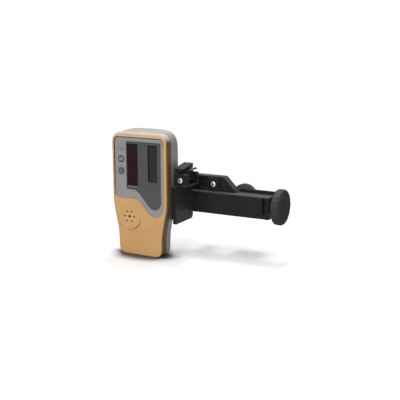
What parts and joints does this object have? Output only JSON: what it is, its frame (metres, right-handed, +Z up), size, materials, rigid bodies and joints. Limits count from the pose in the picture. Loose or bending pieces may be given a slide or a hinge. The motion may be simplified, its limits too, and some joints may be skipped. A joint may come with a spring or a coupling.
{
  "type": "laser receiver",
  "caption": "Hand-size laser level receiver with a display panel and keys, on a bracket whose arm carries a screw-driven rod clamp.",
  "frame": {"origin": "centre of the receiver's base face", "axes": "+X along the clamp arm to the knob, +Y from the display to the back, +Z up"},
  "size_m": [0.1908, 0.0963, 0.146],
  "materials": {
    "tan_plastic": "moulded, fine satin",
    "grey_plastic": "moulded, fine satin",
    "panel_grey": "printed sheet, satin",
    "panel_dark": "printed sheet, semi-gloss",
    "red_filter": "dark red filter, polished",
    "display_glass": "dark clear lens, polished",
    "display_cell": "liquid crystal panel",
    "button_green": "soft key with green mark",
    "button_dark": "soft key",
    "silicone": "keypad mat",
    "seal_rubber": "seal",
    "board_green": "circuit board",
    "diode_black": "photodiode",
    "brass": "turned",
    "cell_jacket": "battery cell, plain jacket",
    "spring_steel": "nickel plated",
    "steel": "turned",
    "bright_screw": "bright plated screw",
    "black_plastic": "glass-filled nylon, fine spark texture",
    "pad_rubber": "jaw pad"
  },
  "bodies": {
    "receiver": {"front_shell": "tan_plastic", "rear_shell": "grey_plastic", "case_seal": "seal_rubber", "case_screws": "steel", "front_panel": "panel_grey", "display_panel": "panel_dark", "sensor_window": "red_filter", "lcd_window": "display_glass", "lcd_module": "display_cell", "keypad_mat": "silicone", "main_board": "board_green", "board_screws": "steel", "sensor_board": "board_green", "photodiodes": "diode_black", "sounder": "brass", "rear_window": "display_glass", "rear_lcd": "display_cell", "battery_cells": "cell_jacket", "battery_springs": "spring_steel", "battery_contacts": "spring_steel", "cover_hinge_pin": "steel", "receiver_bracket": "black_plastic", "bracket_screws": "steel", "lever_screw": "bright_screw", "clamp_arm": "black_plastic", "fixed_jaw": "black_plastic", "fixed_pad": "pad_rubber", "jaw_plate": "black_plastic", "jaw_screw": "bright_screw", "end_bearing": "black_plastic"},
    "power_button": {"power_button": "button_green"},
    "tone_button": {"tone_button": "button_dark"},
    "precision_button": {"precision_button": "button_dark"},
    "battery_door": {"battery_cover": "grey_plastic"},
    "lever": {"lock_lever": "black_plastic"},
    "jaw": {"moving_jaw": "black_plastic", "moving_pad": "pad_rubber", "screw_nut": "brass"},
    "knob": {"clamp_knob": "black_plastic", "clamp_screw": "steel", "screw_collar": "brass"}
  },
  "joints": [
    {"name": "power_press", "type": "slide", "parent": "receiver", "child": "power_button", "axis": [0, 1, 0], "range_m": [0, 0.0007], "stiffness_N_per_m": 900},
    {"name": "tone_press", "type": "slide", "parent": "receiver", "child": "tone_button", "axis": [0, 1, 0], "range_m": [0, 0.0007], "stiffness_N_per_m": 900},
    {"name": "precision_press", "type": "slide", "parent": "receiver", "child": "precision_button", "axis": [0, 1, 0], "range_m": [0, 0.0007], "stiffness_N_per_m": 900},
    {"name": "cover_hinge", "type": "hinge", "parent": "receiver", "child": "battery_door", "pos_m": [0, 0.0089, 0.0042], "axis": [-1, 0, 0], "range_deg": [0, 85]},
    {"name": "lever_turn", "type": "hinge", "parent": "receiver", "child": "lever", "pos_m": [0.046, 0.0163, 0.0905], "axis": [0, 1, 0], "range_deg": [0, 40]},
    {"name": "knob_turn", "type": "hinge", "parent": "receiver", "child": "knob", "pos_m": [0.142, 0.049, 0.0615], "axis": [1, 0, 0], "range_deg": [-1679, 1919]},
    {"name": "jaw_slide", "type": "slide", "parent": "receiver", "child": "jaw", "axis": [1, 0, 0], "range_m": [-0.014, 0.016]}
  ],
  "couplings": [
    {"joint": "jaw_slide", "follows": "knob_turn", "m_per_rad": 0.00047746}
  ]
}
